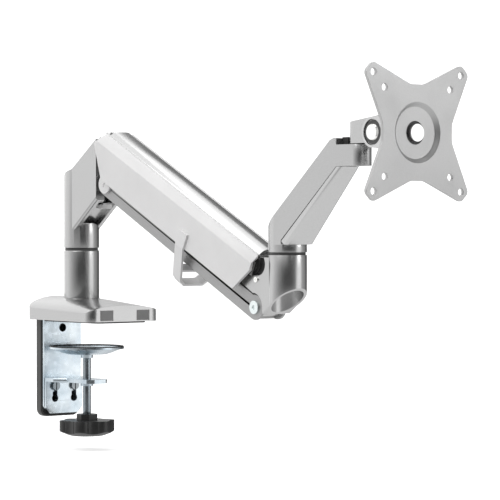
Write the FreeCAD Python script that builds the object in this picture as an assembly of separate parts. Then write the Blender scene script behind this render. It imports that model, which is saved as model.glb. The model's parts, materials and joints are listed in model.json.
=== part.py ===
import FreeCAD, Part
import math
import os

# Monitor arm, millimetres. Origin on the column axis at the desk surface, +X along the arm, +Z up.
V = FreeCAD.Vector
X_AXIS = V(1, 0, 0)
Y_AXIS = V(0, 1, 0)
Z_AXIS = V(0, 0, 1)
FIT = 0.05

# Column, swivel joints and stations along the arm
TUBE_R = 17.5
COLUMN_TOP = 70.8
SHOULDER_BOTTOM = 73.4
RING_R = 16.4
BUSH_TOP = 90.0
ELBOW_X = 323.7
ELBOW_TOP = 68.9
FOREARM_BOTTOM = 71.4
HEAD_X = 423.6
HEAD_SHELF = 166.2
TILT_X = 456.1
TILT_Z = 175.6
FACE_X = 497.5
FACE_Z = 174.2

# Parallel links
LINK = 259.0
LINK_DEG = -26.3
PIVOT_GAP = 39.3
P1 = (62.0, 175.3)
P2 = (62.0, 136.0)
DU = (math.cos(math.radians(LINK_DEG)), math.sin(math.radians(LINK_DEG)))
DN = (-DU[1], DU[0])
P3 = (P1[0] + LINK * DU[0], P1[1] + LINK * DU[1])
P4 = (P3[0], P3[1] - PIVOT_GAP)

# Gas spring, measured along the arm from the shoulder pivot
GAS_START = 46.0
GAS_END = 212.0
GAS_N = -4.5

# Widths across the arm (half widths, Y)
LUG_Y = 10.8
LINK_IN_Y = 11.5
LINK_OUT_Y = 14.0
CHEEK_Y = 16.2
FRAME_IN_Y = 18.0
FRAME_OUT_Y = 19.5
COVER_IN_Y = 21.0
COVER_OUT_Y = 23.5
FLANGE_Y = 16.9
COVER_TOP_Y = 16.4
COVER_TOP_N = 10.2
SHELL_Y = 13.7
SHELL_LOW_N = 8.5
CLIP_U = 156.6

RECESS_X = 301.0
RECESS_Y = 12.0
RECESS_R = 10.4
SET_X = 299.0
SET_Z = 46.6

# Base, clamp and desk edge
PAD_T = 1.5
BASE_BACK = -46.0
BASE_FRONT = 74.0
PLATE_BACK_X = -36.4
PLATE_FRONT_X = -33.4
SCREW_X = 9.2
BRACKET_TOP = -57.3
BRACKET_T = 4.0
PLATE_Y = 22.4
COVER_EDGE_X = -38.4
COVER_BACK_Y = 23.3
HOOK_Z = -65.8

# Display plate
VESA_OUT = 50.0
VESA_IN = 37.5
VESA_HOLE_R = 3.2
PLATE_T = 3.0
HUB_X = 491.4


def box(x0, x1, y0, y1, z0, z1):
    return Part.makeBox(x1 - x0, y1 - y0, z1 - z0, V(x0, y0, z0))


def rod_z(x, y, r, z0, z1):
    return Part.makeCylinder(r, z1 - z0, V(x, y, z0), Z_AXIS)


def rod_y(x, z, r, y0, y1):
    return Part.makeCylinder(r, y1 - y0, V(x, y0, z), Y_AXIS)


def rod_x(y, z, r, x0, x1):
    return Part.makeCylinder(r, x1 - x0, V(x0, y, z), X_AXIS)


def face_of(points):
    return Part.Face(Part.makePolygon([V(*p) for p in points] + [V(*points[0])]))


def prism_xz(points, y0, y1):
    """Side profile given as (x, z), from y0 to y1."""
    face = face_of([(x, y0, z) for x, z in points])
    return face.extrude(V(0, y1 - y0, 0))


def prism_xy(points, z0, z1):
    face = face_of([(x, y, z0) for x, y in points])
    return face.extrude(V(0, 0, z1 - z0))


def prism_yz(points, x0, x1):
    face = face_of([(x0, y, z) for y, z in points])
    return face.extrude(V(x1 - x0, 0, 0))


def hexagon(r, turn=0.0):
    return [(r * math.cos(math.radians(60 * i + turn)), r * math.sin(math.radians(60 * i + turn)))
            for i in range(6)]


def fuse(first, *rest):
    shape = first
    for other in rest:
        shape = shape.fuse(other)
    return shape.removeSplitter()


def cut(shape, *tools):
    for tool in tools:
        shape = shape.cut(tool)
    return shape


def along(origin, u, n):
    """Point at u along the link direction and n across it, measured from a pivot."""
    return (origin[0] + u * DU[0] + n * DN[0], origin[1] + u * DU[1] + n * DN[1])


def link_profile(origin, pairs):
    return [along(origin, u, n) for u, n in pairs]


def vertical_edges(shape, z_low, z_high):
    """Edges running straight up between the two heights."""
    found = []
    for edge in shape.Edges:
        b = edge.BoundBox
        if b.XLength < 0.01 and b.YLength < 0.01 and b.ZMin <= z_low + 0.01 and b.ZMax >= z_high - 0.01:
            found.append(edge)
    return found


# ---------------------------------------------------------------- base and clamp

def arch_section(x, half, reach, drop, top):
    """Upright section across the base: straight sides under part of an ellipse."""
    rise = [(half * i / 6.0) for i in range(-6, 7)]
    crown = [V(x, y, top - drop * (1 - math.sqrt(1 - (y / reach) ** 2))) for y in rise]
    curve = Part.BSplineCurve()
    curve.interpolate(crown)
    low_a = V(x, -half, PAD_T)
    low_b = V(x, half, PAD_T)
    edges = [Part.makeLine(low_a, crown[0]), curve.toShape(), Part.makeLine(crown[-1], low_b),
             Part.makeLine(low_b, low_a)]
    return Part.Wire(edges)


def base_plate():
    outline = [(BASE_BACK, -35.6), (BASE_FRONT, -42.5), (BASE_FRONT, 42.5), (BASE_BACK, 35.6)]
    block = prism_xy(outline, PAD_T, 30.0)
    block = block.makeFillet(9.0, vertical_edges(block, PAD_T, 30.0))
    sides = Part.makeLoft([arch_section(BASE_BACK - 1, 35.7, 40.0, 20.0, 24.3),
                           arch_section(BASE_FRONT + 1, 42.6, 47.0, 25.0, 24.3)], True, True)
    front = Part.Face(arch_section(BASE_BACK - 2, 42.8, 43.6, 8.5, 27.5)).extrude(V(130, 0, -10.7))
    front = fuse(front, box(BASE_BACK - 2, 90, -42.8, 42.8, PAD_T - 12, PAD_T + 6))
    block = block.common(sides).common(front)
    block = fuse(block, Part.makeCone(22.5, TUBE_R, 3.0, V(0, 0, 20.0)))
    block = cut(block, rod_z(0, 0, TUBE_R + 0.1, 23.0, 40), rod_z(0, 0, 11.0, -1, 40))
    block = cut(block, box(PLATE_BACK_X, PLATE_FRONT_X, -PLATE_Y, PLATE_Y, 0, 9.5))
    for y in (-14, 14):
        block = cut(block, rod_x(y, 5.8, 2.5, -60, -24))
    for y in (-21.8, 21.8):
        block = cut(block, box(BASE_FRONT - 1.2, 90, y - 7.8, y + 7.8, 2.6, 12.8))
    return block


def front_pad(y):
    pad = box(BASE_FRONT - 1.2, BASE_FRONT + 0.3, y - 7.6, y + 7.6, 2.8, 12.6)
    return pad.makeFillet(1.5, [e for e in pad.Edges if e.BoundBox.XLength > 1.4])


def desk_pad():
    pad = box(-26, 70, -30, 30, 0, PAD_T)
    return pad.makeFillet(6.0, vertical_edges(pad, 0, PAD_T))


def column():
    tube = fuse(rod_z(0, 0, TUBE_R, 23.0, COLUMN_TOP), rod_z(0, 0, 11.0, PAD_T, 24.0))
    tube = cut(tube, rod_z(0, 0, 8.0, 0, 80))
    rim = [e for e in tube.Edges if abs(e.BoundBox.ZMin - COLUMN_TOP) < 0.01 and e.BoundBox.XLength > 30]
    return tube.makeChamfer(0.8, rim)


def column_spindle():
    return cut(rod_z(0, 0, 8.0, PAD_T + 3, BUSH_TOP), rod_z(0, 0, 5.0, 0, 130))


def swivel_ring(x, z0, z1, bore):
    return cut(rod_z(x, 0, RING_R, z0, z1), rod_z(x, 0, bore, z0 - 1, z1 + 1))


def clamp_plate():
    plate = box(PLATE_BACK_X, PLATE_FRONT_X, -PLATE_Y, PLATE_Y, -89.6, 9.5)
    low = [e for e in plate.Edges if e.BoundBox.XLength > 2.9 and e.BoundBox.ZMax < -80]
    plate = plate.makeFillet(4.0, low)
    plate = cut(plate, rod_x(0, -7.5, 4.2, -40, -30))
    for y in (-14, 14):
        plate = cut(plate, rod_x(y, 5.8, 2.5, -40, -30))
    for y in (-11.5, 11.5):
        plate = cut(plate, rod_x(y, HOOK_Z, 2.5, -40, -30))
        plate = cut(plate, rod_x(y, HOOK_Z - 12.5, 3.6, -40, -30),
                    box(-40, -30, y - 2.6, y + 2.6, HOOK_Z - 12.5, HOOK_Z - 6.0))
    return plate


def bracket_screw(y):
    shank = rod_x(y, 5.8, 2.5, BASE_BACK, -26.0)
    head = rod_x(y, 5.8, 4.4, BASE_BACK - 2.2, BASE_BACK)
    socket = prism_yz([(y + a, 5.8 + b) for a, b in hexagon(1.9)], BASE_BACK - 3, BASE_BACK - 1.0)
    return cut(fuse(shank, head), socket)


def rounded_tray(x0, x1, half, z_low, z_high, r):
    """Upright slab with its two lower corners rounded."""
    slab = box(x0, x1, -half, half, z_low, z_high)
    low = [e for e in slab.Edges if e.BoundBox.XLength > x1 - x0 - 0.1 and e.BoundBox.ZMax < z_low + 1]
    return slab.makeFillet(r, low)


def cover_posts():
    return fuse(rod_x(-19, -40.0, 3.0, -44.5, PLATE_BACK_X), rod_x(19, -40.0, 3.0, -44.5, PLATE_BACK_X))


def back_cover():
    shell = rounded_tray(-45.8, COVER_EDGE_X, COVER_BACK_Y, -96.8, 1.2, 8.0)
    hollow = rounded_tray(-43.6, -30.0, COVER_BACK_Y - 2.0, -94.6, 5.0, 6.0)
    return fuse(cut(shell, hollow), cover_posts())


def cover_gasket():
    """Black frame closing the gap between the back cover and the clamp plate."""
    slab = rounded_tray(COVER_EDGE_X, PLATE_BACK_X, COVER_BACK_Y - 0.4, -95.6, 1.2, 7.0)
    return cut(slab, rounded_tray(-50.0, -30.0, 17.0, -84.0, -2.0, 4.0), cover_posts())


def lower_bracket():
    upright = box(PLATE_FRONT_X, PLATE_FRONT_X + 3.2, -22, 22, -93.5, BRACKET_TOP)
    low = [e for e in upright.Edges if e.BoundBox.XLength > 3 and e.BoundBox.ZMax < -90]
    upright = upright.makeChamfer(6.0, low)
    arm = prism_xy([(PLATE_FRONT_X, -22), (-18, -22), (-8, -12.5), (26, -12.5), (32, -7), (32, 7),
                    (26, 12.5), (-8, 12.5), (-18, 22), (PLATE_FRONT_X, 22)],
                   BRACKET_TOP - BRACKET_T, BRACKET_TOP)
    shape = fuse(upright, arm, rod_z(SCREW_X, 0, 6.2, BRACKET_TOP - 7.0, BRACKET_TOP))
    shape = cut(shape, rod_z(SCREW_X, 0, 4.0 + FIT, -80, -40))
    for y in (-11.5, 11.5):
        slot = fuse(box(-40, -25, y - 2.6, y + 2.6, HOOK_Z - 12.5, HOOK_Z),
                    rod_x(y, HOOK_Z, 2.6, -40, -25),
                    rod_x(y, HOOK_Z - 12.5, 3.6, -40, -25))
        shape = cut(shape, slot)
    return shape


def hook_screw(y):
    shank = rod_x(y, HOOK_Z, 2.5, PLATE_BACK_X - 2.8, PLATE_FRONT_X + 3.2)
    head = rod_x(y, HOOK_Z, 4.4, PLATE_FRONT_X + 3.2, PLATE_FRONT_X + 6.0)
    slot = box(PLATE_FRONT_X + 5.0, PLATE_FRONT_X + 7, y - 0.6, y + 0.6, HOOK_Z - 4, HOOK_Z + 4)
    return cut(fuse(shank, head), slot)


def hook_nut(y):
    nut = prism_yz([(y + a, HOOK_Z + b) for a, b in hexagon(4.2)], PLATE_BACK_X - 2.8, PLATE_BACK_X)
    return cut(nut, rod_x(y, HOOK_Z, 2.5, -45, -30))


def pressure_disc():
    profile = [(0, -32.6), (20, -32.6), (24, -31.4), (34.5, -27.2), (37, -27.2), (37, -25.3), (33.6, -25.3),
               (22.5, -29.8), (18, -30.4), (0, -30.4)]
    face = face_of([(SCREW_X + r, 0, z) for r, z in profile])
    dish = face.revolve(V(SCREW_X, 0, 0), Z_AXIS, 360)
    boss = rod_z(SCREW_X, 0, 6.0, -36.4, -32.0)
    return cut(fuse(dish, boss), rod_z(SCREW_X, 0, 4.0 + FIT, -40, -32.0))


def pressure_pad():
    return cut(rod_z(SCREW_X, 0, 36.6, -25.3, -24.3), rod_z(SCREW_X, 0, 33.8, -26, -24))


def clamp_screw():
    return rod_z(SCREW_X, 0, 4.0, -100.0, -32.0)


def clamp_knob():
    hub = prism_xy([(SCREW_X + a, b) for a, b in
                    [(10.6 * math.cos(math.radians(45 * i + 22.5)),
                      10.6 * math.sin(math.radians(45 * i + 22.5))) for i in range(8)]], -98.5, -92.4)
    grip = rod_z(SCREW_X, 0, 25.0, -113.8, -98.5)
    lobes = []
    for i in range(6):
        a = math.radians(60 * i + 10)
        lobes.append(rod_z(SCREW_X + 20.0 * math.cos(a), 20.0 * math.sin(a), 8.0, -113.8, -98.5))
    scoops = []
    for i in range(6):
        a = math.radians(60 * i + 40)
        scoops.append(rod_z(SCREW_X + 37.0 * math.cos(a), 37.0 * math.sin(a), 13.5, -120, -90))
    grip = cut(fuse(grip, *lobes), *scoops)
    dome = Part.makeSphere(60.0, V(SCREW_X, 0, -56.0))
    knob = fuse(hub, grip.common(dome))
    return cut(knob, rod_z(SCREW_X, 0, 4.0, -100.0, -80))


# ---------------------------------------------------------------- shoulder

def shoulder_casting():
    back = prism_xz([(-17.5, SHOULDER_BOTTOM), (17.5, SHOULDER_BOTTOM), (17.5, 159.6), (5.8, 151.5),
                     (-4.0, 148.4), (-10.9, 144.2), (-15.0, 139.0), (-17.5, 132.0)], -40, 40)
    tube = rod_z(0, 0, TUBE_R, 60, 200).common(back)
    cheeks = prism_xz([(0, 84.5), (47.8, 120.6), (47.8, 180.6), (5.8, 151.5), (0, 149.7)], -CHEEK_Y, CHEEK_Y)
    rims = [e for e in cheeks.Edges if e.BoundBox.YLength < 0.01 and abs(e.BoundBox.ZMax - 120.6) < 0.01
            and e.BoundBox.XLength > 20]
    body = fuse(tube, cheeks.makeFillet(2.6, rims))
    recess = prism_xz([(9.2, 91.4), (17.5, 97.7), (60, 97.7), (60, 118), (36.1, 118), (9.2, 97.7)], -10.6, 10.6)
    throat = box(14, 60, -6.0, 6.0, 117.5, 128.0)
    hollow = prism_xz([(14, 127.5), (60, 127.5), (60, 190), (50, 190), (44, 169), (16, 149.5)], -12.7, 12.7)
    body = cut(body, recess, throat, hollow)
    lug = fuse(rod_y(P1[0], P1[1], 8.2, -LUG_Y, LUG_Y), rod_y(P2[0], P2[1], 8.2, -LUG_Y, LUG_Y),
               prism_xz([(13, 130), (50, 130), (P2[0], P2[1] - 8.2), (P2[0] + 8.2, P2[1]),
                         (P1[0] + 7.4, P1[1] - 3.5), (P1[0], P1[1] + 8.2), (47.3, 175.0), (13, 152.6)],
                        -LUG_Y, LUG_Y))
    rib = box(13, 47, -12.8, 12.8, 130, 134)
    tongue = box(13, 38, -3.0, 3.0, 112.8, 115.6)
    web = prism_xz([(13, 130), (16, 130), (16, 153.9), (13, 151.9)], -12.8, 12.8)
    body = fuse(body, lug, rib, web, tongue)
    body = cut(body, rod_z(0, 0, 10.0, 60, BUSH_TOP))
    body = cut(body, rod_y(P1[0], P1[1], 4.0 + FIT, -30, 30))
    return cut(body, rod_y(P2[0], P2[1], 4.0 + FIT, -30, 30))


def shoulder_bushing():
    return cut(rod_z(0, 0, 10.0, SHOULDER_BOTTOM, BUSH_TOP), rod_z(0, 0, 8.0 + FIT, 60, 130))


def shoulder_bar():
    bar = box(38.0, 44.0, -5.6, 5.6, 112.0, 116.5)
    return bar.makeFillet(1.4, [e for e in bar.Edges if e.BoundBox.XLength > 5.9])


# ---------------------------------------------------------------- upper arm

COVER_FACE = [(-7.0, -2.4), (15.8, -26.6), (19.5, -29.8), (120.0, -29.8), (249.5, -29.8), (264.4, -3.4),
              (264.0, 3.5), (-4.0, 1.5)]
COVER_RIM = [(-9.5, 3.0), (14.0, -26.6), (19.5, -29.8), (120.0, -29.8), (250.5, -29.8), (267.0, -2.0),
             (262.5, COVER_TOP_N), (-0.5, COVER_TOP_N)]


def cover_loft(y_in, y_out, rim, face):
    wires = []
    for y, pairs in ((y_in, rim), (y_out, face)):
        pts = [V(x, y, z) for x, z in link_profile(P1, pairs)]
        wires.append(Part.makePolygon(pts + [pts[0]]))
    return Part.makeLoft(wires, True, True)


def upper_cover(side):
    outer = cover_loft(side * COVER_TOP_Y, side * COVER_OUT_Y, COVER_RIM, COVER_FACE)
    tip_in = side * (COVER_TOP_Y - 0.5)
    rim = [(-30.0, 0.5), (-30.0, -40.0), (300.0, -40.0), (300.0, 0.5), (300.0, 8.6), (-30.0, 8.6)]
    face = [(-30.0, -1.0), (-30.0, -40.0), (300.0, -40.0), (300.0, 0.5), (300.0, 4.2), (-30.0, 2.8)]
    hollow = cover_loft(tip_in, side * COVER_IN_Y, rim, face)
    flange = sorted((side * FLANGE_Y, side * (COVER_IN_Y + 0.5)))
    return fuse(cut(outer, hollow), arm_box(32.0, 246.0, flange[0], flange[1], -29.8, -27.8))


def arm_box(u0, u1, y0, y1, n0, n1):
    """Block laid along the upper arm."""
    block = Part.makeBox(u1 - u0, y1 - y0, n1 - n0, V(u0, y0, n0))
    block.rotate(V(0, 0, 0), Y_AXIS, -LINK_DEG)
    block.translate(V(P1[0], 0, P1[1]))
    return block


def top_shell():
    """Domed strip between the two side trims."""
    edge = COVER_TOP_N - 0.5
    rise = 14.6 - edge
    radius = (SHELL_Y * SHELL_Y + rise * rise) / (2 * rise)
    dome = Part.makeCylinder(radius, 290.0, V(-14, 0, 14.6 - radius), X_AXIS)
    dome.rotate(V(0, 0, 0), Y_AXIS, -LINK_DEG)
    dome.translate(V(P1[0], 0, P1[1]))
    strip = arm_box(-5.0, 264.0, -SHELL_Y, SHELL_Y, SHELL_LOW_N, 20.0).common(dome)
    keep = prism_xz([(40, 100), (40, 186.6), (92, 186.6), (310, 90), (299.5, 76), (299.5, 60)], -30, 30)
    notch = rod_z(67.0, -11.2, 1.8, 181.5, 192.0)
    return cut(strip.common(keep), notch)


def shell_trim(side):
    """White edging strip between the domed shell and a side cover."""
    sides = sorted((side * (SHELL_Y + 0.3), side * (COVER_TOP_Y - 0.3)))
    strip = arm_box(-1.0, 264.0, sides[0], sides[1], SHELL_LOW_N, COVER_TOP_N - 0.1)
    return strip.common(box(0, 299.5, -30, 30, 0, 300))


def upper_frame():
    """Pair of side walls with two cross blocks, carrying the pivots inside the covers."""
    wall = link_profile(P1, [(-6.0, -9.0), (264.0, -9.0), (264.0, 4.4), (-6.0, 4.4)])
    near = prism_xz(wall, -FRAME_OUT_Y, -FRAME_IN_Y)
    far = prism_xz(wall, FRAME_IN_Y, FRAME_OUT_Y)
    front = arm_box(30.0, 40.0, -FRAME_IN_Y, FRAME_IN_Y, 1.4, 4.4)
    back = arm_box(GAS_END, GAS_END + 9, -FRAME_IN_Y, FRAME_IN_Y, -12.0, 4.4)
    post = arm_box(30.0, 40.0, -16.0, 16.0, 4.0, SHELL_LOW_N)
    rear_post = arm_box(GAS_END, GAS_END + 9, -16.0, 16.0, 4.0, SHELL_LOW_N)
    frame = fuse(near, far, front, back, post, rear_post)
    frame = cut(frame, rod_y(P1[0], P1[1], 4.0, -30, 30))
    return cut(frame, rod_y(P3[0], P3[1], 4.0, -30, 30))


def pivot_pin(p, half):
    return rod_y(p[0], p[1], 4.0, -half, half)


def along_rod(r, u0, u1):
    start = along(P1, u0, GAS_N)
    return Part.makeCylinder(r, u1 - u0, V(start[0], 0, start[1]), V(DU[0], 0, DU[1]))


def gas_cylinder():
    body = along_rod(11.0, GAS_START, GAS_END)
    return cut(body, along_rod(5.0 + FIT, GAS_START - 1, GAS_START + 20),
               along_rod(9.5, GAS_START + 8, GAS_END - 6))


def gas_rod():
    return fuse(along_rod(5.0, 30.0, 140.0), along_rod(9.4, 92.0, 100.0))


# ---------------------------------------------------------------- lower link

def lower_link():
    end = rod_y(P4[0], P4[1], 11.5, -LINK_OUT_Y, LINK_OUT_Y)
    start = rod_y(P2[0], P2[1], 11.5, -LINK_OUT_Y, LINK_OUT_Y)
    bar = prism_xz(link_profile(P2, [(0, -11.5), (LINK, -11.5), (LINK, 9.2), (0, 9.2)]), -LINK_OUT_Y, LINK_OUT_Y)
    shape = fuse(bar, start, end)
    hollow = prism_xz(link_profile(P2, [(-20, -8.9), (LINK + 20, -8.9), (LINK + 20, 30), (-20, 30)]),
                      -LINK_IN_Y, LINK_IN_Y)
    open_start = prism_xz(link_profile(P2, [(-20, -20), (3, -20), (3, 20), (-20, 20)]), -LINK_IN_Y, LINK_IN_Y)
    open_end = prism_xz(link_profile(P2, [(LINK + 1, -20), (LINK + 20, -20), (LINK + 20, 20), (LINK + 1, 20)]),
                        -LINK_IN_Y, LINK_IN_Y)
    shape = cut(shape, hollow, open_start, open_end)
    shape = cut(shape, rod_y(P2[0], P2[1], 4.0, -30, 30))
    return cut(shape, rod_y(P4[0], P4[1], 4.0, -30, 30))


def shoulder_cap(side):
    y0 = side * LINK_OUT_Y
    y1 = side * (LINK_OUT_Y + 2.4)
    cap = rod_y(P2[0], P2[1], 9.4, min(y0, y1), max(y0, y1))
    slot = box(-1.0, 1.0, min(y1, y1 - side * 1.0), max(y1, y1 - side * 1.0), -3.4, 3.4)
    slot.rotate(V(0, 0, 0), Y_AXIS, 30)
    slot.translate(V(P2[0], 0, P2[1]))
    return cut(cap, slot)


def link_bolt():
    """Through bolt of the lower elbow pivot, socket head on one side and locked hexagon on the other."""
    shank = rod_y(P4[0], P4[1], 4.0, -LINK_OUT_Y, LINK_OUT_Y)
    head = rod_y(P4[0], P4[1], 6.2, -LINK_OUT_Y - 1.8, -LINK_OUT_Y)
    socket = prism_xz([(P4[0] + a, P4[1] + b) for a, b in hexagon(2.2)], -LINK_OUT_Y - 2, -LINK_OUT_Y - 0.6)
    end = prism_xz([(P4[0] + a, P4[1] + b) for a, b in hexagon(6.0)], LINK_OUT_Y, LINK_OUT_Y + 1.9)
    return cut(fuse(shank, head, end), socket)


def cable_clip():
    """Tapering loop hung from both side covers, passing under the lower link."""
    outer = [(COVER_OUT_Y, -15.0), (25.7, -15.6), (25.7, -30.5), (17.4, -63.5), (11.4, -69.0)]
    inner = [(9.9, -66.8), (15.2, -62.0), (COVER_OUT_Y, -30.8)]
    section = outer + [(-y, n) for y, n in outer[::-1]]
    section += [(-y, n) for y, n in inner[::-1]] + inner
    clip = face_of([(CLIP_U, y, n) for y, n in section]).extrude(V(13.0, 0, 0))
    bar = box(CLIP_U, CLIP_U + 13.0, -18.4, 18.4, -54.0, -51.8)
    clip = fuse(clip, bar)
    clip.rotate(V(0, 0, 0), Y_AXIS, -LINK_DEG)
    clip.translate(V(P1[0], 0, P1[1]))
    return clip


# ---------------------------------------------------------------- elbow block

def elbow_casting():
    tube = rod_z(ELBOW_X, 0, TUBE_R, 10, ELBOW_TOP)
    cheek = prism_xz([(270, 39.0), (282, 30), (307, 14.7), (ELBOW_X, 14.7), (ELBOW_X, 66.6), (304, 66.6),
                      (P3[0] + 5, P3[1] + 6.0), (P3[0] - 5, P3[1] + 6.0), (270, 52.0)], -CHEEK_Y, CHEEK_Y)
    body = fuse(tube, cheek, rod_y(P3[0], P3[1], 8.2, -CHEEK_Y, CHEEK_Y), rod_y(P4[0], P4[1], 8.3, -LUG_Y, LUG_Y))
    below = prism_xz([(200, 0), (200, -80), (400, -80), (400, 79.6), (306.2, 14.9), (295, 12.0)], -60, 60)
    body = cut(body, below)
    body = cut(body, cut(rod_z(ELBOW_X, 0, 14.6, 0, 48.0), box(270, 307, -30, 30, -10, 14)))
    pocket_line = [(P4[0] + 11.4 * DN[0], P4[1] + 11.4 * DN[1]),
                   (P4[0] - 90 * DU[0] + 15.5 * DN[0], P4[1] - 90 * DU[1] + 15.5 * DN[1]),
                   (180, -20), (P4[0] + 13.2, -20), (P4[0] + 13.2, P4[1])]
    for y0, y1 in ((-30, -LUG_Y), (LUG_Y, 30)):
        body = cut(body, prism_xz(pocket_line, y0, y1), rod_y(P4[0], P4[1], 13.2, y0, y1))
    body = cut(body, prism_xz([(P4[0] + 2, P4[1] - 8.0), (P4[0] + 9.6, P4[1] - 8.0), (P4[0] + 9.6, P4[1] - 20),
                               (P4[0] - 30, P4[1] - 20), (P4[0] - 30, P4[1] - 8.0)], -20, 20)
               .cut(rod_y(P4[0], P4[1], 8.3, -30, 30)))
    body = cut(body, rod_z(ELBOW_X, 0, 7.0, 44, 80))
    body = cut(body, rod_y(SET_X, SET_Z, 1.6, -30, -LUG_Y))
    body = cut(body, recess_outline(RECESS_R, -30, -RECESS_Y), recess_outline(RECESS_R, RECESS_Y, 30))
    body = cut(body, rod_y(P3[0], P3[1], 4.0 + FIT, -30, 30))
    return cut(body, rod_y(P4[0], P4[1], 4.3, -30, 30))


def elbow_spindle():
    return cut(rod_z(ELBOW_X, 0, 7.0, 50.0, 96.0), rod_z(ELBOW_X, 0, 4.0, 40, 100))


def recess_outline(r, y0, y1):
    """Level slot open to the arm side, round at its end towards the elbow cylinder."""
    return fuse(box(280, RECESS_X, y0, y1, P3[1] - r, P3[1] + r), rod_y(RECESS_X, P3[1], r, y0, y1))


def pivot_washer(side):
    sides = sorted((side * RECESS_Y, side * (RECESS_Y + 1.6)))
    liner = recess_outline(RECESS_R - 0.3, sides[0], sides[1])
    liner = cut(liner, box(270, P3[0] - 5.0, -20, 20, 40, 80), box(270, 330, -20, 20, 66.4, 80))
    sides = sorted((side * RECESS_Y, side * (CHEEK_Y - 0.4)))
    ring = rod_y(P3[0], P3[1], 9.2, sides[0], sides[1])
    flat = arm_box(LINK - 20, LINK + 4.0, -20, 20, 0, 12)
    ring = fuse(cut(ring, flat), rod_y(P3[0], P3[1], 7.8, sides[0], sides[1]))
    sides = sorted((side * RECESS_Y, side * (FRAME_IN_Y - 0.3)))
    hub = rod_y(P3[0], P3[1], 6.6, sides[0], sides[1])
    return cut(fuse(liner, ring, hub), rod_y(P3[0], P3[1], 4.0 + FIT, -30, 30))


def set_screw():
    head = rod_y(SET_X, SET_Z, 2.5, -CHEEK_Y - 1.2, -CHEEK_Y)
    shank = rod_y(SET_X, SET_Z, 1.6, -CHEEK_Y, -LUG_Y - 0.2)
    socket = prism_xz([(SET_X + a, SET_Z + b) for a, b in hexagon(1.2)], -CHEEK_Y - 1.3, -CHEEK_Y - 0.3)
    return cut(fuse(head, shank), socket)


# ---------------------------------------------------------------- forearm

def forearm_hull(margin=0.0):
    """Tapering plan: tangent lines between the elbow and head cylinders."""
    r0 = TUBE_R - margin
    r1 = 9.7 - margin
    span = HEAD_X - ELBOW_X
    lean = math.asin((r0 - r1) / span)
    c, s = math.cos(lean), math.sin(lean)
    outline = [(ELBOW_X + r0 * s, -r0 * c), (HEAD_X + r1 * s, -r1 * c), (HEAD_X + r1 * s, r1 * c),
               (ELBOW_X + r0 * s, r0 * c)]
    return fuse(prism_xy(outline, 60, 200), rod_z(ELBOW_X, 0, r0, 60, 200), rod_z(HEAD_X, 0, r1, 60, 200))


def forearm_casting():
    side = prism_xz([(300, FOREARM_BOTTOM), (342, FOREARM_BOTTOM), (342, 78.2), (334.4, 78.2), (334.4, 82.4),
                     (404.0, 147.2), (436.0, 147.6),
                     (436, HEAD_SHELF), (404.2, HEAD_SHELF), (404.2, 171.6), (401.0, 172.3), (396.0, 170.4),
                     (314.0, 94.6), (306.2, 86.0), (300, 86.0)], -30, 30)
    body = side.common(forearm_hull())
    body = cut(body, rod_z(ELBOW_X, 0, 9.0, 60, 97.0))
    around = cut(box(ELBOW_X, 400, -30, 30, 60, 78.2), rod_z(ELBOW_X, 0, TUBE_R, 50, 90))
    return cut(body, around, rod_z(HEAD_X, 0, 5.0 + FIT, 149.4, 180))


def forearm_cover():
    side = prism_xz([(334.6, 81.6), (338.0, 78.4), (341.4, 78.4), (412.0, 147.0), (404.2, 147.0)], -30, 30)
    body = side.common(forearm_hull(0.3))
    low = [e for e in body.Edges if e.BoundBox.XLength > 60 and e.BoundBox.XMax > 409 and e.BoundBox.YLength > 1]
    body = body.makeFillet(3.6, low)
    inner = side.common(forearm_hull(2.4))
    inner = inner.common(prism_xz([(338.0, 84.0), (341.0, 81.8), (404.0, 142.8), (399.0, 144.0), (350.0, 120.0)],
                                  -30, 30))
    return cut(body, inner)


def forearm_bushing():
    return cut(rod_z(ELBOW_X, 0, 9.0, FOREARM_BOTTOM, 96.0), rod_z(ELBOW_X, 0, 7.0 + FIT, 60, 100))


def swivel_bumper():
    block = box(404.2, 412.4, -4.6, 4.6, HEAD_SHELF, 172.8)
    return block.makeFillet(0.8, vertical_edges(block, HEAD_SHELF, 172.8))


# ---------------------------------------------------------------- head and display plate

def head_block():
    side = prism_xz([(413.8, 166.9), (433.6, 166.9), (441, 166.9), (TILT_X + 4, 166.9), (TILT_X + 9.4, 175.6),
                     (TILT_X + 6, 186.5), (TILT_X, 190.2), (413.8, 185.0)], -30, 30)
    plan = fuse(rod_z(HEAD_X, 0, 9.5, 160, 200), box(HEAD_X, 480, -9.5, 9.5, 160, 200))
    body = side.common(plan)
    body = cut(body, rod_z(HEAD_X, 0, 5.0, 160, 182.0))
    return cut(body, rod_y(TILT_X, TILT_Z, 4.0 + FIT, -30, 30))


def head_spindle():
    return rod_z(HEAD_X, 0, 5.0, 149.5, 181.0)


def head_ring():
    return cut(rod_z(HEAD_X, 0, 9.0, HEAD_SHELF + 0.1, 166.9), rod_z(HEAD_X, 0, 5.0, 160, 180))


def tilt_bracket():
    lobe = rod_y(TILT_X, TILT_Z, 13.4, -15.4, 15.4)
    arm = prism_xz([(TILT_X - 2, TILT_Z - 13.0), (484, TILT_Z - 17.0), (484, TILT_Z + 14.0),
                    (TILT_X - 2, TILT_Z + 13.0)], -15.4, 15.4)
    body = fuse(lobe, arm)
    gap = box(430, 476.5, -9.9, 9.9, 140, 210)
    body = cut(body, gap)
    flange = rod_x(0, FACE_Z, 22.0, 481.0, 487.6)
    body = fuse(body, flange)
    body = cut(body, rod_x(0, FACE_Z, 5.0 + FIT, 470, 500), rod_y(TILT_X, TILT_Z, 4.0, -30, 30))
    return cut(body, rod_y(TILT_X, TILT_Z, 11.2, -20, -13.4))


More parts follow.
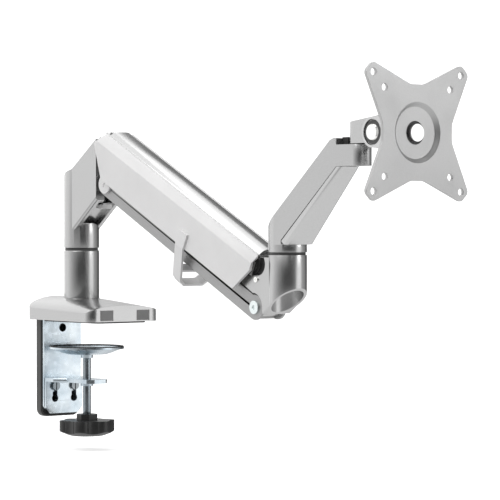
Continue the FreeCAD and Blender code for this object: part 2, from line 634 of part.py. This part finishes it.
def tilt_bolt():
    shank = rod_y(TILT_X, TILT_Z, 4.0, -14.4, 15.4)
    head = Part.makeCone(7.6, 6.6, 1.9, V(TILT_X, -14.4, TILT_Z), V(0, -1, 0))
    end = prism_xz([(TILT_X + a, TILT_Z + b) for a, b in hexagon(7.0)], 15.4, 19.4)
    return fuse(shank, head, end)


def tilt_washer():
    return cut(rod_y(TILT_X, TILT_Z, 10.6, -14.4, -13.4), rod_y(TILT_X, TILT_Z, 4.0, -20, 0))


def rotation_ring():
    return cut(rod_x(0, FACE_Z, 21.0, 487.65, HUB_X), rod_x(0, FACE_Z, 5.0, 480, 500))


def rotation_hub():
    """Dark bush filling the plate's centre hole, under the bolt head."""
    return cut(rod_x(0, FACE_Z, 10.0, HUB_X, 493.2), rod_x(0, FACE_Z, 5.0, 480, 500))


def rotation_bolt():
    """Centre bolt of the display plate, its bright head inside the central opening."""
    shank = rod_x(0, FACE_Z, 5.0, 478.0, 493.2)
    head = rod_x(0, FACE_Z, 7.5, 493.2, 497.2)
    return fuse(shank, head)


def vesa_outline():
    """Four-armed outline in (y, z) about the plate's centre, one quarter mirrored round."""
    quarter = [(8.0, 41.0), (50.5, 59.0), (59.0, 50.5), (39.6, 8.0)]
    points = list(quarter)
    points += [(y, -z) for y, z in quarter[::-1]]
    points += [(-y, -z) for y, z in quarter]
    points += [(-y, z) for y, z in quarter[::-1]]
    return points


def corner_edges(plate, low, high):
    """Straight through-edges of the plate whose distance from its centre lies in the given range."""
    found = []
    for edge in plate.Edges:
        b = edge.BoundBox
        through = b.XLength > PLATE_T - 0.1 and b.YLength < 0.01 and b.ZLength < 0.01
        if through and low < math.hypot(b.YMin, b.ZMin - FACE_Z) < high:
            found.append(edge)
    return found


def vesa_plate():
    outline = [(y, FACE_Z + z) for y, z in vesa_outline()]
    plate = prism_yz(outline, FACE_X - PLATE_T, FACE_X)
    plate = plate.makeFillet(5.0, corner_edges(plate, 70, 90))
    plate = plate.makeFillet(14.0, corner_edges(plate, 30, 50))
    back = Part.makeCone(28.0, 24.6, 3.1, V(FACE_X - PLATE_T, 0, FACE_Z), V(-1, 0, 0))
    dish = Part.makeCone(26.0, 22.3, 3.4, V(FACE_X, 0, FACE_Z), V(-1, 0, 0))
    plate = cut(fuse(plate, back), dish, rod_x(0, FACE_Z, 10.0, 480, 500))
    for half in (VESA_OUT, VESA_IN):
        for y in (-half, half):
            for z in (-half, half):
                plate = cut(plate, rod_x(y, FACE_Z + z, VESA_HOLE_R, 480, 510))
    return plate


def nodes():
    parts = {
        "base_plate": base_plate(),
        "front_pad_near": front_pad(-21.8),
        "front_pad_far": front_pad(21.8),
        "desk_pad": desk_pad(),
        "column": column(),
        "column_spindle": column_spindle(),
        "base_swivel_ring": swivel_ring(0, COLUMN_TOP, SHOULDER_BOTTOM - FIT, 10.5),
        "clamp_plate": clamp_plate(),
        "bracket_screw_near": bracket_screw(-14),
        "bracket_screw_far": bracket_screw(14),
        "back_cover": back_cover(),
        "cover_gasket": cover_gasket(),
        "lower_bracket": lower_bracket(),
        "hook_screw_near": hook_screw(-11.5),
        "hook_screw_far": hook_screw(11.5),
        "hook_nut_near": hook_nut(-11.5),
        "hook_nut_far": hook_nut(11.5),
        "pressure_disc": pressure_disc(),
        "pressure_pad": pressure_pad(),
        "clamp_screw": clamp_screw(),
        "clamp_knob": clamp_knob(),
        "shoulder_casting": shoulder_casting(),
        "shoulder_bushing": shoulder_bushing(),
        "shoulder_bar": shoulder_bar(),
        "upper_cover_near": upper_cover(-1),
        "upper_cover_far": upper_cover(1),
        "top_shell": top_shell(),
        "shell_trim_near": shell_trim(-1),
        "shell_trim_far": shell_trim(1),
        "upper_frame": upper_frame(),
        "upper_pin_shoulder": pivot_pin(P1, FRAME_OUT_Y),
        "upper_pin_elbow": pivot_pin(P3, FRAME_OUT_Y),
        "gas_cylinder": gas_cylinder(),
        "gas_rod": gas_rod(),
        "lower_link": lower_link(),
        "lower_pin_shoulder": pivot_pin(P2, LINK_OUT_Y),
        "shoulder_cap_near": shoulder_cap(-1),
        "shoulder_cap_far": shoulder_cap(1),
        "link_bolt": link_bolt(),
        "cable_clip": cable_clip(),
        "elbow_casting": elbow_casting(),
        "elbow_spindle": elbow_spindle(),
        "pivot_washer_near": pivot_washer(-1),
        "pivot_washer_far": pivot_washer(1),
        "elbow_set_screw": set_screw(),
        "elbow_swivel_ring": swivel_ring(ELBOW_X, ELBOW_TOP, FOREARM_BOTTOM - FIT, 9.5),
        "forearm_casting": forearm_casting(),
        "forearm_cover": forearm_cover(),
        "forearm_bushing": forearm_bushing(),
        "swivel_bumper": swivel_bumper(),
        "head_block": head_block(),
        "head_spindle": head_spindle(),
        "head_ring": head_ring(),
        "tilt_bracket": tilt_bracket(),
        "tilt_bolt": tilt_bolt(),
        "tilt_washer": tilt_washer(),
        "rotation_ring": rotation_ring(),
        "rotation_hub": rotation_hub(),
        "rotation_bolt": rotation_bolt(),
        "vesa_plate": vesa_plate(),
    }
    return parts


os.makedirs("parts", exist_ok=True)
for name, shape in nodes().items():
    if shape.ShapeType == "Compound" and len(shape.Solids) == 1:
        shape = shape.Solids[0]
    print(name, shape.isValid(), len(shape.Solids), round(shape.Volume, 1))
    shape.exportStep("parts/" + name + ".step")
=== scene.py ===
import json
import math

import bpy
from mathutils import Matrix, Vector


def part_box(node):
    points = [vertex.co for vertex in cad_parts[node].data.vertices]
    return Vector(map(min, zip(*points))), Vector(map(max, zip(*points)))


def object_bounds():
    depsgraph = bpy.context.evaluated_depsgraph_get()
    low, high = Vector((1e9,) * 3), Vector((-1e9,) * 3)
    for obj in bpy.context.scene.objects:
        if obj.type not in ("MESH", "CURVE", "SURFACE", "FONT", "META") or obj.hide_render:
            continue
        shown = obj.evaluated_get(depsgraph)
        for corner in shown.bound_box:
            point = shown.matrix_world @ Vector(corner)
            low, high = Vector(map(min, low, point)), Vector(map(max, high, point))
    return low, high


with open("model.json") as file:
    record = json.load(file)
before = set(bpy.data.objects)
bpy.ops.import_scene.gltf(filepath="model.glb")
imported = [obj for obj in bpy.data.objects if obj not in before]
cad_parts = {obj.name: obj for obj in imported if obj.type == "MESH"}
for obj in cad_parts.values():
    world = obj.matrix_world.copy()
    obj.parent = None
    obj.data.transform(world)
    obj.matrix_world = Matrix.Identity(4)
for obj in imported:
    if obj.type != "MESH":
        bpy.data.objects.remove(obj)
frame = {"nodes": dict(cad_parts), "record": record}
nodes = frame["nodes"]
slot_of = {part["node"]: part["material_slot"] for part in frame["record"]["subparts"]}
cad_low, cad_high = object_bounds()

# ---------------------------------------------------------------- camera

CAMERA_PLACE = (2.11004, -1.47231, 0.09521)
CAMERA_AIM = Vector((-0.78085, 0.62464, -0.00942))
LENS_MM = 184.9
SENSOR_MM = 36.0


def turn_to(thing, direction):
    thing.rotation_mode = "QUATERNION"
    thing.rotation_quaternion = direction.to_track_quat("-Z", "Y")


cam_data = bpy.data.cameras.new("camera")
cam_data.lens = LENS_MM
cam_data.sensor_width = SENSOR_MM
cam_data.clip_end = 100.0
camera = bpy.data.objects.new("camera", cam_data)
camera.location = CAMERA_PLACE
turn_to(camera, CAMERA_AIM)
bpy.context.scene.collection.objects.link(camera)
bpy.context.scene.camera = camera
bpy.context.scene.view_settings.view_transform = "Standard"

# ---------------------------------------------------------------- materials

PAINT_GRAIN = 2600.0
PEEL_GRAIN = 900.0
LATHE_PITCH = 0.0009


class Tree:
    """Small helper around a node tree."""

    def __init__(self, tree):
        self.tree = tree

    def add(self, kind, **settings):
        node = self.tree.nodes.new(kind)
        for key, value in settings.items():
            setattr(node, key, value)
        return node

    def link(self, a, b):
        self.tree.links.new(a, b)

    def noise(self, scale, detail, rough, vector):
        node = self.add("ShaderNodeTexNoise")
        node.inputs["Scale"].default_value = scale
        node.inputs["Detail"].default_value = detail
        node.inputs["Roughness"].default_value = rough
        self.link(vector, node.inputs["Vector"])
        return node.outputs["Fac"]

    def ramp(self, source, stops):
        """Colour ramp whose stops hold a grey level or a colour."""
        node = self.add("ShaderNodeValToRGB")
        elements = node.color_ramp.elements
        while len(elements) < len(stops):
            elements.new(0.5)
        for element, (at, value) in zip(elements, stops):
            element.position = at
            element.color = (*value, 1.0) if isinstance(value, tuple) else (value, value, value, 1.0)
        self.link(source, node.inputs["Fac"])
        return node.outputs["Color"]

    def bump(self, height, strength, distance, normal=None):
        node = self.add("ShaderNodeBump")
        node.inputs["Strength"].default_value = strength
        node.inputs["Distance"].default_value = distance
        self.link(height, node.inputs["Height"])
        if normal is not None:
            self.link(normal, node.inputs["Normal"])
        return node.outputs["Normal"]

    def math(self, operation, a, b=None):
        node = self.add("ShaderNodeMath", operation=operation)
        for socket, value in zip(node.inputs, (a, b)):
            if value is None:
                continue
            if isinstance(value, (int, float)):
                socket.default_value = value
            else:
                self.link(value, socket)
        return node.outputs[0]

    def from_signed(self, value):
        """Moves a value from -1 ... 1 to 0 ... 1."""
        return self.math("ADD", self.math("MULTIPLY", value, 0.5), 0.5)

    def mix(self, factor, first, second):
        """Blends two colours, each a socket or a grey level."""
        node = self.add("ShaderNodeMix", data_type="RGBA")
        self.link(factor, node.inputs["Factor"])
        for socket, colour in ((node.inputs["A"], first), (node.inputs["B"], second)):
            if isinstance(colour, float):
                socket.default_value = (colour, colour, colour, 1.0)
            else:
                self.link(colour, socket)
        return node.outputs["Result"]


def new_material(name, metallic):
    mat = bpy.data.materials.new(name)
    mat.use_nodes = True
    tree = Tree(mat.node_tree)
    shader = mat.node_tree.nodes["Principled BSDF"]
    shader.inputs["Metallic"].default_value = metallic
    coords = tree.add("ShaderNodeTexCoord").outputs["Object"]
    return mat, tree, shader, coords


def scaled(value, colour):
    return tuple(value * part for part in colour)


def cast_paint(name, dark, light, roughness, metallic=0.75):
    """Satin metallic paint on a casting: fine sparkle, slight tone drift, orange-peel bump."""
    mat, tree, shader, coords = new_material(name, metallic)
    speck = tree.noise(PAINT_GRAIN, 3.0, 0.7, coords)
    tree.link(tree.ramp(speck, [(0.3, dark), (0.7, light)]), shader.inputs["Base Color"])
    drift = tree.noise(28.0, 3.0, 0.5, coords)
    tree.link(tree.ramp(drift, [(0.3, roughness - 0.03), (0.7, roughness + 0.05)]), shader.inputs["Roughness"])
    peel = tree.noise(PEEL_GRAIN, 2.0, 0.5, coords)
    fine = tree.bump(speck, 0.06, 0.0002)
    tree.link(tree.bump(peel, 0.015, 0.0004, fine), shader.inputs["Normal"])
    return mat


def moulded(name, dark, light, roughness, tint=(1.0, 1.0, 1.0), bump=0.05, coat=0.0, grain=1500.0):
    """Moulded plastic: nearly even colour with a fine moulded texture."""
    mat, tree, shader, coords = new_material(name, 0.0)
    tone = tree.noise(35.0, 3.0, 0.5, coords)
    tree.link(tree.ramp(tone, [(0.3, scaled(dark, tint)), (0.7, scaled(light, tint))]), shader.inputs["Base Color"])
    texture = tree.noise(grain, 2.0, 0.6, coords)
    tree.link(tree.ramp(texture, [(0.3, roughness - 0.04), (0.7, roughness + 0.04)]), shader.inputs["Roughness"])
    tree.link(tree.bump(texture, bump, 0.0003), shader.inputs["Normal"])
    shader.inputs["Coat Weight"].default_value = coat
    shader.inputs["Coat Roughness"].default_value = 0.15
    return mat


def zinc_plate(name, shade=1.0):
    """Zinc plating: bluish, cloudy, with faint drawn lines; a shade below 1 darkens the whole colour as painted
    shade.
    """
    mat, tree, shader, coords = new_material(name, 1.0)
    cloud = tree.noise(32.0, 5.0, 0.55, coords)
    tones = [(0.30, (0.46, 0.54, 0.60)), (0.50, (0.60, 0.67, 0.72)), (0.70, (0.76, 0.82, 0.85))]
    tree.link(tree.ramp(cloud, [(at, scaled(shade, tone)) for at, tone in tones]), shader.inputs["Base Color"])
    patches = tree.noise(120.0, 4.0, 0.6, coords)
    tree.link(tree.ramp(patches, [(0.3, 0.20), (0.7, 0.38)]), shader.inputs["Roughness"])
    stretch = tree.add("ShaderNodeMapping")
    stretch.inputs["Scale"].default_value = (1.0, 1.0, 0.06)
    tree.link(coords, stretch.inputs["Vector"])
    lines = tree.noise(900.0, 3.0, 0.6, stretch.outputs["Vector"])
    waves = tree.bump(cloud, 0.04, 0.001)
    tree.link(tree.bump(lines, 0.05, 0.0003, waves), shader.inputs["Normal"])
    return mat


def turned_metal(name, colour, roughness, axis, centre=(0.0, 0.0, 0.0)):
    """Metal faced on a lathe: fine rings about a line through the centre, along X, Y or Z (0, 1, 2)."""
    mat, tree, shader, coords = new_material(name, 1.0)
    shift = tree.add("ShaderNodeMapping")
    shift.inputs["Location"].default_value = tuple(0.0 if i == axis else -centre[i] for i in range(3))
    shift.inputs["Scale"].default_value = tuple(0.0 if i == axis else 1.0 for i in range(3))
    tree.link(coords, shift.inputs["Vector"])
    length = tree.add("ShaderNodeVectorMath", operation="LENGTH")
    tree.link(shift.outputs["Vector"], length.inputs[0])
    turns = tree.math("SINE", tree.math("MULTIPLY", length.outputs["Value"], 2 * math.pi / LATHE_PITCH))
    wear = tree.noise(400.0, 3.0, 0.6, coords)
    tree.link(tree.ramp(wear, [(0.3, scaled(0.92, colour)), (0.7, colour)]), shader.inputs["Base Color"])
    tree.link(tree.ramp(wear, [(0.3, roughness), (0.7, roughness + 0.10)]), shader.inputs["Roughness"])
    tree.link(tree.bump(turns, 0.12, 0.00004), shader.inputs["Normal"])
    return mat


def middle(node):
    low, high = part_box(node)
    return tuple((low + high) / 2)


materials = {
    "silver": cast_paint("silver", 0.47, 0.55, 0.22, metallic=0.9),
    "silver_light": cast_paint("silver_light", 0.54, 0.63, 0.22, metallic=0.9),
    "grey_cast": cast_paint("grey_cast", 0.36, 0.44, 0.42),
    "plate_paint": cast_paint("plate_paint", 0.47, 0.57, 0.42),
    "white_plastic": moulded("white_plastic", 0.84, 0.88, 0.34, tint=(1.0, 0.995, 0.995), coat=0.2),
    "zinc": zinc_plate("zinc"),
    "steel": turned_metal("steel", (0.60, 0.61, 0.63), 0.26, 2),
    "bright": turned_metal("bright", (0.95, 0.95, 0.93), 0.12, 1),
    "black_plastic": moulded("black_plastic", 0.020, 0.030, 0.42, bump=0.12, grain=1100.0),
    "dark_grey_plastic": moulded("dark_grey_plastic", 0.060, 0.080, 0.48, bump=0.12, grain=1100.0),
    "grey_inset": moulded("grey_inset", 0.24, 0.29, 0.50, bump=0.10),
    "rubber": moulded("rubber", 0.018, 0.026, 0.62, bump=0.15, grain=800.0),
}
# Darker copies of the zinc are painted shade: 0.42 of the colour on the hook screws, 0.60 on the clamp screw.
zinc_painted_shade = zinc_plate("zinc_dark_painted_shade", 0.42)
own_material = {
    "clamp_screw": zinc_plate("zinc_screw_painted_shade", 0.60),
    "hook_screw_near": zinc_painted_shade,
    "hook_screw_far": zinc_painted_shade,
    "tilt_bolt": turned_metal("tilt_bolt_face", (0.95, 0.95, 0.93), 0.14, 1, middle("tilt_bolt")),
    "rotation_bolt": turned_metal("centre_bolt_face", (0.98, 0.98, 0.98), 0.30, 0, middle("rotation_bolt")),
    "link_bolt": turned_metal("link_bolt_face", (0.80, 0.86, 0.86), 0.18, 1, middle("link_bolt")),
}

# Rounding of the edges in metres, where it differs from a small part's
SMALL_EDGE = 0.0003
EDGES = {"base_plate": 0.0010, "shoulder_casting": 0.0008, "forearm_casting": 0.0008, "forearm_cover": 0.0010,
         "head_block": 0.0008, "clamp_knob": 0.0015, "vesa_plate": 0.0002, "upper_cover_near": 0.0006,
         "upper_cover_far": 0.0006, "elbow_casting": 0.0006}


def dress(node):
    """Gives a CAD node its material and softly rounded edges."""
    piece = nodes[node]
    piece.data.materials.clear()
    piece.data.materials.append(own_material.get(node) or materials[slot_of[node]])
    weld = piece.modifiers.new("weld", "WELD")
    weld.merge_threshold = 0.00001
    bevel = piece.modifiers.new("edges", "BEVEL")
    bevel.width = EDGES.get(node, SMALL_EDGE)
    bevel.segments = 2
    bevel.limit_method = "ANGLE"
    bevel.angle_limit = math.radians(35)
    bevel.harden_normals = False
    bevel.use_clamp_overlap = True


for name in nodes:
    dress(name)

# ---------------------------------------------------------------- floor and light

SCENE_X = 0.2
FLOOR_SIZE = 60.0
KNOB_TRAVEL = 0.0145
WORLD_STRENGTH = 1.4
FRONT = (0.781, -0.625, 0.0)
RIGHT = (0.625, 0.781, 0.0)
UP = (0.0, 0.0, 1.0)

# Brightness of the room around the part: degrees from the front, positive to the right
RING = [(-180, 0.45), (-165, 0.95), (-140, 0.95), (-120, 0.80), (-100, 0.85), (-62, 0.42), (-36, 0.16),
        (-14, 0.03), (22, 0.03), (48, 0.16), (62, 1.00), (84, 1.00), (93, 0.40), (115, 0.30), (138, 0.06),
        (168, 0.06), (180, 0.45)]
CEILING_SHARE = [(0.0, 0.0), (0.58, 0.0), (0.75, 0.75), (0.86, 1.0)]
CEILING = [(0.0, 0.70), (0.40, 0.95), (0.47, 0.80), (0.58, 0.16), (1.0, 0.10)]
GROUND_SHARE = [(0.0, 1.0), (0.22, 0.9), (0.40, 0.0), (1.0, 0.0)]
GROUND = 0.72


def paper_material():
    """White paper: bright to the eye, dimmer as a light source, and clear in reflections."""
    mat, tree, shader, coords = new_material("floor_paper", 0.0)
    tone = tree.noise(3.0, 2.0, 0.5, coords)
    path = tree.add("ShaderNodeLightPath")
    seen = path.outputs["Is Camera Ray"]
    paper = tree.mix(seen, 0.45, tree.ramp(tone, [(0.3, 0.93), (0.7, 0.95)]))
    tree.link(paper, shader.inputs["Base Color"])
    shader.inputs["Roughness"].default_value = 0.9
    shader.inputs["Emission Color"].default_value = (1.0, 1.0, 1.0, 1.0)
    tree.link(tree.math("MULTIPLY", seen, 0.55), shader.inputs["Emission Strength"])
    clear = tree.add("ShaderNodeBsdfTransparent").outputs["BSDF"]
    surface = tree.add("ShaderNodeMixShader")
    tree.link(path.outputs["Is Glossy Ray"], surface.inputs[0])
    tree.link(shader.outputs["BSDF"], surface.inputs[1])
    tree.link(clear, surface.inputs[2])
    tree.link(surface.outputs["Shader"], mat.node_tree.nodes["Material Output"].inputs["Surface"])
    return mat


def studio_world():
    """White room with a dark front and a light strip on the right, fixed in world space."""
    world = bpy.data.worlds.new("studio")
    bpy.context.scene.world = world
    world.use_nodes = True
    tree = Tree(world.node_tree)
    background = world.node_tree.nodes["Background"]
    direction = tree.add("ShaderNodeTexCoord").outputs["Generated"]

    def dot(vector):
        node = tree.add("ShaderNodeVectorMath", operation="DOT_PRODUCT")
        tree.link(direction, node.inputs[0])
        node.inputs[1].default_value = vector
        return node.outputs["Value"]

    right = dot(RIGHT)
    height = tree.from_signed(dot(UP))
    angle = tree.math("ARCTAN2", right, dot(FRONT))
    around = tree.math("ADD", tree.math("MULTIPLY", angle, 1 / (2 * math.pi)), 0.5)
    walls = tree.ramp(around, [((degrees + 180) / 360, level) for degrees, level in RING])
    ceiling = tree.ramp(tree.from_signed(right), CEILING)
    room = tree.mix(tree.ramp(height, CEILING_SHARE), walls, ceiling)
    room = tree.mix(tree.ramp(height, GROUND_SHARE), room, GROUND)
    seen = tree.add("ShaderNodeLightPath").outputs["Is Camera Ray"]
    tree.link(tree.mix(seen, room, 1.0), background.inputs["Color"])
    background.inputs["Strength"].default_value = WORLD_STRENGTH


def softbox(name, location, target, size, power):
    """Square area light in metres and watts, aimed at the target."""
    data = bpy.data.lights.new(name, "AREA")
    data.energy = power
    data.shape = "SQUARE"
    data.size = size
    lamp = bpy.data.objects.new(name, data)
    lamp.location = location
    turn_to(lamp, Vector(target) - Vector(location))
    bpy.context.scene.collection.objects.link(lamp)


bpy.ops.mesh.primitive_plane_add(size=FLOOR_SIZE, location=(SCENE_X, 0.0, cad_low[2] - KNOB_TRAVEL))
floor = bpy.context.object
floor.name = "floor"
floor.data.materials.append(paper_material())

studio_world()
softbox("key", (SCENE_X, -1.9, 1.5), (SCENE_X, 0.0, 0.1), 1.0, 9.5)
softbox("top", (SCENE_X, 0.3, 1.9), (SCENE_X, 0.0, 0.0), 1.6, 9.5)
softbox("side", (1.6, 0.9, 0.7), (0.4, 0.0, 0.1), 0.6, 2.8)
